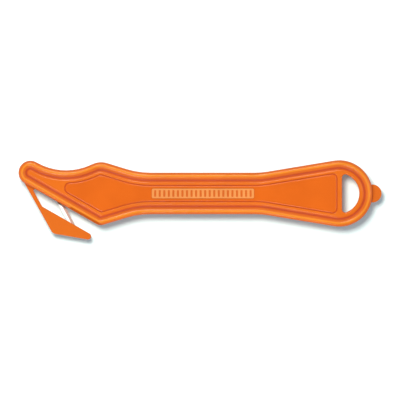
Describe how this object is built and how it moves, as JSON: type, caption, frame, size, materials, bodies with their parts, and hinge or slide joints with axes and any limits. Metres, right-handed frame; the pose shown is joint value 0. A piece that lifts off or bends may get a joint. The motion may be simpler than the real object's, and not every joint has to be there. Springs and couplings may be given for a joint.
{
  "type": "hook-head safety cutter",
  "caption": "Fixed-blade safety cutter: rimmed plastic handle with a guarded hook head, a recessed steel blade, a D-shaped hanging hole and a tape-splitting end tab.",
  "frame": {"origin": "middle of the footprint, on the crests of the rear rim that the knife lies on", "axes": "+X from the nose to the tail, +Y across the handle away from the hook, +Z out of the front face"},
  "size_m": [0.1778, 0.0388, 0.008],
  "materials": {
    "handle_plastic": "moulded ABS, satin gloss",
    "plate_plastic": "moulded ABS, satin",
    "blade_steel": "ground carbon steel",
    "name_plate_plastic": "frosted"
  },
  "bodies": {
    "root": {"front_handle_shell": "handle_plastic", "rear_handle_shell": "handle_plastic", "spine_plate": "plate_plastic", "cutting_blade": "blade_steel", "name_plate": "name_plate_plastic"}
  },
  "joints": []
}
